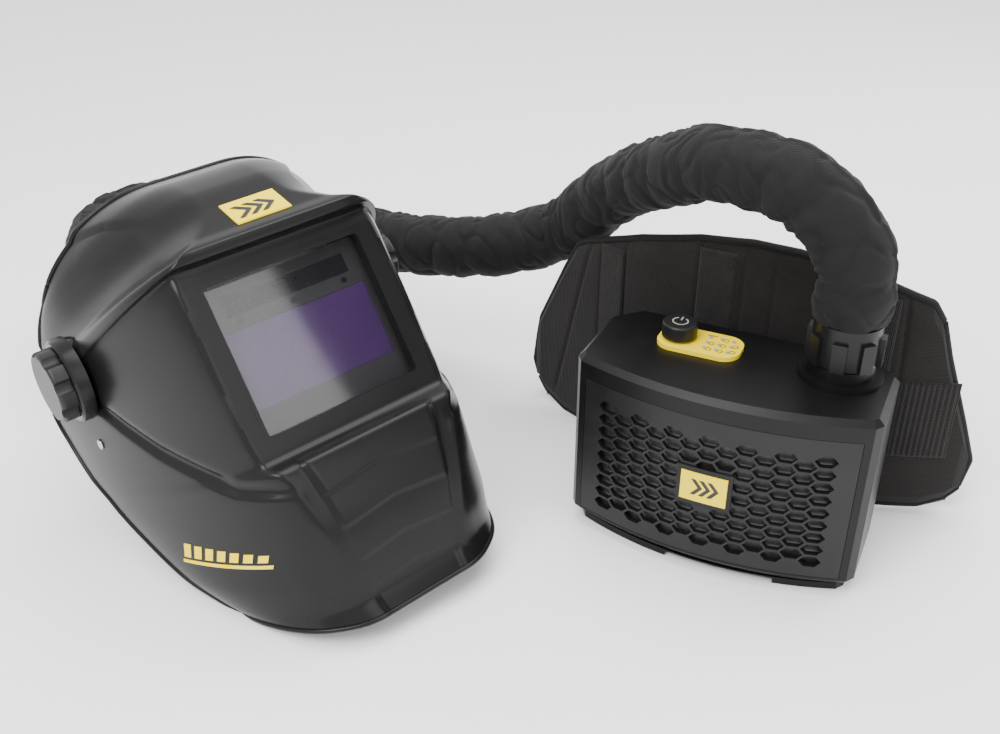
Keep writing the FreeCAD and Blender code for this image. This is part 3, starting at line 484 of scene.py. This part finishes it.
def cut(obj, cutters):
    """Cuts the openings into the mesh itself and removes the cutters."""
    for c in cutters:
        m = obj.modifiers.new("cut", "BOOLEAN")
        m.operation, m.object, m.solver = "DIFFERENCE", c, "EXACT"
    bpy.context.view_layer.update()
    mesh = bpy.data.meshes.new_from_object(obj.evaluated_get(bpy.context.evaluated_depsgraph_get()))
    obj.modifiers.clear()
    obj.data = mesh
    for c in cutters:
        bpy.data.objects.remove(c)


def window_axes():
    """The wearer's left, up and out of the window, in the helmet's frame."""
    t = math.radians(WINDOW_TILT)
    out, up = np.array([math.cos(t), 0, math.sin(t)]), np.array([-math.sin(t), 0, math.cos(t)])
    return np.cross(up, out), up, out


def helmet_shell():
    """The shell with its openings and rim bead; returns its surface, in the helmet's frame."""
    along, across = ((300, 240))
    rows = evened(SECTIONS, along)
    outer = shell_points(rows, across)
    outer = style(outer, grid_normals(outer))
    inner = shell_points(rows, across, inner=True)
    verts = np.concatenate([outer.reshape(-1, 3), inner.reshape(-1, 3)])
    obj = make("shell", verts, sheet_faces(*outer.shape[:2]), SHELL)
    bm = bmesh.new()
    bm.from_mesh(obj.data)
    bmesh.ops.recalc_face_normals(bm, faces=bm.faces)
    bm.to_mesh(obj.data)
    bm.free()
    middle = np.array([WINDOW_X, 0, WINDOW_Z])
    tools = [cutter(HOLE_CORNER, WINDOW_HOLE, -14, 30, middle, window_axes())]
    ex, ey, ez = np.eye(3)
    for side in (-1, 1):
        tools.append(cutter(5.0, (BOLT_HOLE, BOLT_HOLE), 80, 140, np.zeros(3), (ex, ez * -side, ey * side)))
    cut(obj, tools)
    tree = BVHTree.FromPolygons([v.co.copy() for v in obj.data.vertices],
                                [tuple(p.vertices) for p in obj.data.polygons])
    place = Matrix.Translation(HELMET_AT * MM) @ Matrix(HELMET_TURN.tolist()).to_4x4()
    obj.data.transform(place @ Matrix.Scale(MM, 4))
    for v in obj.data.vertices:
        v.co.z = max(v.co.z, 0.0)
    obj.data.shade_smooth()
    obj.data.set_sharp_from_angle(angle=math.radians(40))
    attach(obj, "shell")
    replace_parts(obj, "helmet_shell")
    rim = np.concatenate([outer[0], outer[1:-1, -1], outer[-1, ::-1], outer[-2:0:-1, 0]])
    line, _ = even(np.concatenate([rim, rim[:1]]), 700)
    tube("shell_rim", helmet_to_row(line[:-1]), RIM_R * MM, SHELL, "shell")
    return tree


SHELL_TREE = helmet_shell()


def on_side(x, z, lift):
    """The point of the shell's right side at x, z in the helmet's frame, lifted off the surface."""
    hit, normal, _, _ = SHELL_TREE.ray_cast(Vector((x, -200, z)), Vector((0, 1, 0)))
    return helmet_to_row(np.array(hit) + np.array(normal) * (lift if normal.y < 0 else -lift))


def side_bar(name, u0, u1, v0, v1):
    """A printed bar of the cheek mark; u runs along the strip, v across it, both 0 to 1."""
    cols, rows, lean = 14, 5, 0.35
    verts = []
    for lift in (0.1, 0.55):
        for i in range(rows):
            for j in range(cols):
                v = v0 + (v1 - v0) * i / (rows - 1)
                u = u0 + (u1 - u0) * j / (cols - 1) + lean * 0.15 * (v - 0.5)
                verts.append(on_side(MARK_X + MARK_W * u + 3 * v, MARK_Z - 6 * u + MARK_H * v, lift))
    n = rows * cols
    faces = [tuple(f) for f in grid_faces(rows, cols, flip=True)]
    faces += [tuple(f) for f in grid_faces(rows, cols, start=n)]
    for j in range(cols - 1):
        top = (rows - 1) * cols + j
        faces += [(j, j + 1, n + j + 1, n + j), (top + 1, top, n + top, n + top + 1)]
    for i in range(rows - 1):
        a, b = i * cols, i * cols + cols - 1
        faces += [(a + cols, a, n + a, n + a + cols), (b, b + cols, n + b + cols, n + b)]
    return make(name, verts, faces, YELLOW, "shell", smooth=False)


mark = side_bar("cheek_stripe", 0.0, 1.0, 0.0, 0.16)
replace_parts(mark, "cheek_mark")
for i in range(7):
    side_bar("cheek_bar_%d" % i, 0.02 + 0.14 * i, 0.11 + 0.14 * i, 0.3, 1.0 - 0.06 * i)


def turned(rings, sides):
    """Points of a form turned about the helmet's y axis, from (radius, y) rings."""
    a = np.linspace(0, 2 * math.pi, sides, endpoint=False)
    x, z = np.cos(a), np.sin(a)
    return np.concatenate([np.stack([r * x, np.full(sides, y), r * z], 1) for r, y in rings])


def side_rivet(side):
    sides = 32
    hit, _, _, _ = SHELL_TREE.ray_cast(Vector((RIVET_X, side * 200, RIVET_Z)), Vector((0, -side, 0)))
    rings = [(r, hit.y + side * h) for r, h in ((0.05, 1.6), (2.2, 1.4), (3.6, 0.8), (4.0, -0.6))]
    verts = turned(rings, sides) + [RIVET_X, 0, RIVET_Z]
    foot = (len(rings) - 1) * sides
    faces = [tuple(f) for f in grid_faces(len(rings), sides, wrap=True, flip=side > 0)]
    faces.append(tuple(range(foot, foot + sides)))
    return make("rivet_%s" % ("right" if side < 0 else "left"), helmet_to_row(verts), faces, STEEL, "shell")


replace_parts(side_rivet(-1), "side_rivets")
side_rivet(1)


def pivot_boss(side):
    """The round seat of the shell's pivot, with the bolt's hole."""
    sides, hole = 64, 5.1
    rings = [(hole, BOSS_OUT), (BOSS_R - 2, BOSS_OUT), (BOSS_R - 0.5, BOSS_OUT - 1.4), (BOSS_R, 117.0),
             (BOSS_R, BOSS_IN), (hole, BOSS_IN)]
    verts = turned([(r, side * y) for r, y in rings], sides)
    j = np.arange(sides)
    k = (j + 1) % sides
    last = (len(rings) - 1) * sides
    faces = [grid_faces(len(rings), sides, wrap=True, flip=side > 0),
             np.stack([last + j, last + k, k, j], 1)]
    name = "pivot_boss_right" if side < 0 else "pivot_boss_left"
    sharpen(make(name, helmet_to_row(verts), np.concatenate(faces), SHELL, "shell"))


pivot_boss(-1)
pivot_boss(1)


# ---- CAD pieces that keep their own shape ----
def dress(names, mat, bevel=0.0, angle=CREASE):
    """A material on pieces of the CAD, with their edges rounded and their creases kept."""
    for name in names.split():
        obj = NODES[name]
        obj.data.materials.clear()
        obj.data.materials.append(mat)
        if bevel:
            b = obj.modifiers.new("edges", "BEVEL")
            b.width, b.segments, b.limit_method, b.angle_limit = bevel * MM, 2, "ANGLE", math.radians(angle)
            b.miter_outer = "MITER_ARC"
        split = obj.modifiers.new("creases", "EDGE_SPLIT")
        split.split_angle = math.radians(angle)


dress("window_frame", SHELL, 0.6)
dress("cover_lens inner_cover_lens", CLEAR)
dress("adf_housing", FRAME_GREY)
dress("adf_lcd", LCD)
dress("solar_panel arc_sensors", SOLAR)
dress("adf_holder head_band crown_strap strap_rivets pivot_arms ratchet_housing", NYLON)
dress("air_duct duct_inlet", DUCT)
dress("tension_knob_right tension_knob_left ratchet_knob head_nut", KNOB, 0.5)
dress("hose_nut", CASE_GLOSS, 0.5)
dress("pivot_bolts case_screws fan_motor", STEEL)
dress("friction_washers outlet_seal filter_gasket blower_cuff breathing_hose", RUBBER)
dress("blower_case", CASE, 1.0, 30)
dress("filter_cover", GRILLE, 0.25)
dress("badge_plate", CASE_GLOSS, 0.3)
dress("forehead_badge grille_badge", YELLOW)
dress("spark_arrestor", ARRESTOR)
dress("prefilter particle_filter", MEDIA)
dress("fan_scroll impeller belt_bracket battery_latch outlet_spigot", NYLON)
dress("buckle_socket buckle_plug strap_slider", NYLON, 0.8)
dress("battery", CASE, 0.8)
dress("circuit_board", BOARD)
dress("control_panel", YELLOW, 0.6)
dress("power_button", KNOB, 0.6)
dress("indicator_leds", LAMP)
dress("sweat_band nape_pad face_seal", FOAM, 1.0)

# ---- belt ----
PAD_LINE = np.array([(-196, 105), (-160, 91), (-120, 76), (-80, 66), (-40, 61), (0, 60), (40, 61), (80, 66),
                     (120, 79), (158, 96)], float)
PAD_TOP = np.array([(-191, 38), (-188, 62), (-185, 80), (-161, 133), (-149, 157), (-139, 163), (-94, 179),
                    (-49, 190), (-12, 194), (20, 193), (72, 182), (108, 168), (116, 155), (124, 128),
                    (142, 76), (152, 45)], float)
PAD_LOW = np.array([(-191, 38), (-186, 24), (-178, 14), (-158, 6), (0, 3), (124, 6), (140, 12), (148, 21),
                    (152, 45)], float)
PAD_X0, PAD_X1 = PAD_LOW[0, 0], PAD_LOW[-1, 0]
PAD_HALF = 5.6       # half the pad's thickness, apart from the edge's
SEAMS = ((-146, 0.22), (-124, 0), (-104, 0), (-47, 0), (-15, 0), (6, 0))     # x of each seam, and its lean


def pad_depth(x):
    """How far back the pad's front stands at x, as a smooth curve through its line."""
    fit = np.polyfit(PAD_LINE[:, 0], PAD_LINE[:, 1], 6)
    return np.polyval(fit, x)


def pad_point(x, z, lift):
    """A point on the belt pad, lift in front of its middle surface."""
    slope = (pad_depth(x + 1) - pad_depth(x - 1)) / 2
    out = np.stack([slope, -np.ones_like(slope)], -1) / np.sqrt(1 + slope ** 2)[..., None]
    return np.stack([x + out[..., 0] * lift, pad_depth(x) + 6 + out[..., 1] * lift, z], -1)


def belt_pad():
    """The pad: two quilted faces that close at a bound edge."""
    cols, rows = 360, 150
    t = (1 - np.cos(np.linspace(0, math.pi, cols))) / 2
    x = (PAD_X0 + (PAD_X1 - PAD_X0) * t)[None, :].repeat(rows, 0)
    v = np.linspace(0, 1, rows)[:, None]
    top = np.interp(x, PAD_TOP[:, 0], PAD_TOP[:, 1])
    low = np.interp(x, PAD_LOW[:, 0], PAD_LOW[:, 1])
    z = low + (top - low) * v
    margin = np.minimum(np.minimum(top - z, z - low), np.minimum(x - PAD_X0, PAD_X1 - x))
    puff = np.sqrt(np.clip(margin / 9.0, 0, 1))
    ripple = np.zeros_like(x)
    for i in range(rows):
        for j in range(cols):
            ripple[i, j] = noise.noise(Vector((x[i, j] / 34, z[i, j] / 60, 3))) * 1.3
    seams = np.zeros_like(x)
    for s, lean in SEAMS:
        seams += np.exp(-((x - s - lean * (z - 110)) / 1.6) ** 2) * soft_step(z - 24, 10)
    seams += np.exp(-((x - 92 - 0.05 * (170 - z)) / 1.6) ** 2) * soft_step(z - 106, 8)
    half = PAD_HALF * puff + 0.2
    front = pad_point(x, z, half + ripple * puff * 0.5 - 1.3 * np.clip(seams, 0, 1) * puff)
    back = pad_point(x, z, -half)
    verts = blower_to_row(np.concatenate([front.reshape(-1, 3), back.reshape(-1, 3)]))
    pad = make("belt_pad_cloth", verts, sheet_faces(rows, cols), PAD_CLOTH, "respirator",
               replaces=["belt_pad"])
    rim = np.concatenate([PAD_TOP, PAD_LOW[::-1][1:-1]])
    closed = np.concatenate([rim, rim[:1]])
    flat = np.concatenate([closed, np.zeros((len(closed), 1))], 1)
    line, _ = even(flat, 420)
    x, z = line[:-1, 0], line[:-1, 1]
    tube("pad_binding", blower_to_row(pad_point(x, z, np.zeros(len(x)))), 3.0 * MM, BINDING, "respirator")


belt_pad()


def strip(name, x0, x1, z0, z1, thick=1.4, cols=24, ribs=0, replaces=()):
    """A strip of webbing sewn on the pad's front, plain or with ribs along it."""
    rows, lift = 40, PAD_HALF + 0.3
    x, z = np.meshgrid(np.linspace(x0, x1, cols), np.linspace(z0, z1, rows))
    edge = np.minimum(np.minimum(x - x0, x1 - x), np.minimum(z - z0, z1 - z))
    swell = thick * np.clip(edge / 1.2, 0, 1) ** 0.5
    if ribs:
        swell = swell * (0.75 + 0.25 * np.cos((x - x0) / (x1 - x0) * ribs * 2 * math.pi))
    front, back = pad_point(x, z, lift + swell), pad_point(x, z, np.full_like(x, lift - 0.5))
    verts = blower_to_row(np.concatenate([front.reshape(-1, 3), back.reshape(-1, 3)]))
    make(name, verts, sheet_faces(rows, cols), WEBBING, "respirator", replaces=replaces)


strip("belt_loop_a", -124, -104, 22, 168, replaces=["belt_loops"])
strip("belt_loop_b", -47, -20, 100, 186)
strip("belt_loop_c", 66, 88, 22, 172)
strip("elastic_patch", 96, 134, 50, 111, thick=1.6, cols=90, ribs=11, replaces=["side_patch"])
dress("belt_webbing", WEBBING)


# ---- badges: generic marks ----
def plate_mark(name, outline, to_row, mat, body, thick=0.25):
    """A flat printed mark: outline in the plane, to_row places (x, y, height)."""
    verts = [to_row(x, y, h) for h in (0.0, thick) for x, y in outline]
    make(name, verts, prism_faces(len(outline)), mat, body, smooth=False)


def chevron(w, h, t, dx):
    return [(dx - w, -h), (dx - w + t, -h), (dx + t, 0.0), (dx - w + t, h), (dx - w, h), (dx, 0.0)]


def on_grille(x, y, h):
    """On the blower's badge, which stands proud of the case's curved front."""
    half, front, sag, proud, badge_z = 96.0, -51.0, 18.0, 2.0, 70
    radius = (half ** 2 + sag ** 2) / (2 * sag)
    depth = front - proud - (0.02 + h) + radius - math.sqrt(radius ** 2 - x ** 2)
    return blower_to_row([x, depth, badge_z + y])


for i, dx in enumerate((-3.5, 2.0, 7.5)):
    plate_mark("grille_mark_%d" % i, chevron(5, 6, 3, dx), on_grille, INK, "grille")


def on_forehead(x, y, h):
    """On the forehead badge: x runs to the wearer's left, y up its slope."""
    badge_x, badge_y, badge_t = 107.5, 2, 1.3
    above = Vector((badge_x - 0.85 * y, badge_y + x, 200))
    hit, normal, _, _ = SHELL_TREE.ray_cast(above, Vector((0, 0, -1)))
    return helmet_to_row(np.array(hit) + np.array(normal) * math.copysign(badge_t + h, normal.z))


for i, dx in enumerate((-7.0, 1.0, 9.0)):
    plate_mark("forehead_mark_%d" % i, chevron(8, 6.5, 4, dx), on_forehead, INK, "shell", 0.3)


# ---- control panel marks ----
PANEL_AT, BUTTON_AT = (-29.0, 15.0, 139.02), (-44.0, 15.0, 151.02)


def on_panel(x, y, h):
    return blower_to_row(np.add(PANEL_AT, (x, y, h)))


def ring_outline(cx, cy, r0, r1, a0, a1, n=24):
    a = np.radians(np.linspace(a0, a1, n))
    outer = [(cx + r1 * math.cos(t), cy + r1 * math.sin(t)) for t in a]
    return outer + [(cx + r0 * math.cos(t), cy + r0 * math.sin(t)) for t in a[::-1]]


for i, (cx, cy) in enumerate(((5, -8), (5, 0), (13, -8), (13, 0), (13, 8), (21, -6), (21, 2))):
    ring = ring_outline(cx + 2.6, cy, 1.6, 2.1, 0, 360)
    plate_mark("panel_mark_%d" % i, ring, on_panel, INK, "respirator", 0.12)


def on_button(x, y, h):
    return blower_to_row(np.add(BUTTON_AT, (x, y, h)))


plate_mark("button_ring", ring_outline(0, 0, 4.6, 5.6, 120, 420), on_button, LAMP, "button", 0.12)
button_bar = [(-0.5, 1.5), (0.5, 1.5), (0.5, 6.5), (-0.5, 6.5)]
plate_mark("button_bar", button_bar, on_button, LAMP, "button", 0.12)
plate_mark("panel_bar", [(2, 10.5), (9, 10.5), (9, 11.7), (2, 11.7)], on_panel, RED_INK, "respirator", 0.12)

# ---- studio ----
LENS_DEPTH = 9       # how far the lens lies behind the window's plane
SHADE_TOP, SHADE_LOW = (-11, 48), (1, -48)     # ends of the shade's edge in the lens, from its middle
GLOW, GLARE = 1.5, 3.8                         # brightness of the surround, and of the bright patch
SHADE = 0.02                                   # share of it left in the shade
PATCH, PATCH_CORE = 30, 20                     # half-angles of the patch and of its full strength, degrees
FLOOR = material("floor", (0.96, 0.96, 0.96), 0.9, 0.004, 2.0)
floor = make("floor", [(-6, -4, 0), (6, -4, 0), (6, 8, 0), (-6, 8, 0)], [(0, 1, 2, 3)], FLOOR)
floor.location.z = -0.0006


def mirror_way(x, y):
    """Where the sight line to a point of the window lens goes after it is mirrored there."""
    left, up, out = window_axes()
    point = helmet_to_row(np.array([WINDOW_X, 0, WINDOW_Z]) - LENS_DEPTH * out + x * left + y * up)
    normal = HELMET_TURN @ out
    sight = point - EYE * MM
    way = sight - 2 * (sight @ normal) * normal
    return way / np.linalg.norm(way)


def studio_world():
    """White surround, brighter in the patch that the window lens mirrors, with one half of it shaded."""
    world = bpy.data.worlds.new("studio")
    bpy.context.scene.world = world
    world.use_nodes = True
    tree = world.node_tree
    link = tree.links.new
    back = tree.nodes["Background"]
    back.inputs[0].default_value = (1, 1, 1, 1)
    place = tree.nodes.new("ShaderNodeTexCoord")

    def band(direction, low, high):
        dot = tree.nodes.new("ShaderNodeVectorMath")
        dot.operation = "DOT_PRODUCT"
        dot.inputs[1].default_value = tuple(direction)
        link(place.outputs["Generated"], dot.inputs[0])
        fade = tree.nodes.new("ShaderNodeMapRange")
        fade.inputs["From Min"].default_value, fade.inputs["From Max"].default_value = low, high
        link(dot.outputs["Value"], fade.inputs["Value"])
        return fade.outputs["Result"]

    def times(a, b):
        product = tree.nodes.new("ShaderNodeMath")
        product.operation = "MULTIPLY"
        link(a, product.inputs[0])
        link(b, product.inputs[1])
        return product.outputs[0]

    def between(value, low, high):
        fade = tree.nodes.new("ShaderNodeMapRange")
        fade.inputs["To Min"].default_value, fade.inputs["To Max"].default_value = low, high
        link(value, fade.inputs["Value"])
        return fade.outputs["Result"]

    edge = np.cross(mirror_way(*SHADE_TOP), mirror_way(*SHADE_LOW))
    if edge @ mirror_way(50, 0) < 0:
        edge = -edge
    cone = band(mirror_way(0, 0), math.cos(math.radians(PATCH)), math.cos(math.radians(PATCH_CORE)))
    half = band(edge / np.linalg.norm(edge), 0.0, 0.012)
    link(times(between(times(cone, half), 1.0, SHADE), between(cone, GLOW, GLARE)), back.inputs[1])


studio_world()


def area(name, at, target, size, power):
    """A square lamp that faces its target."""
    light = bpy.data.lights.new(name, "AREA")
    light.shape, light.size, light.energy = "SQUARE", size, power
    obj = bpy.data.objects.new(name, light)
    obj.location = at
    obj.rotation_euler = (Vector(target) - Vector(at)).to_track_quat("-Z", "Y").to_euler()
    bpy.context.scene.collection.objects.link(obj)


area("key", (-0.9, -0.9, 1.5), (-0.1, 0.1, 0.1), 1.0, 34)
area("top", (0.1, 0.3, 1.7), (0, 0.05, 0.1), 1.2, 24)
area("rim", (1.2, 0.9, 0.9), (0, 0.05, 0.15), 0.8, 8)
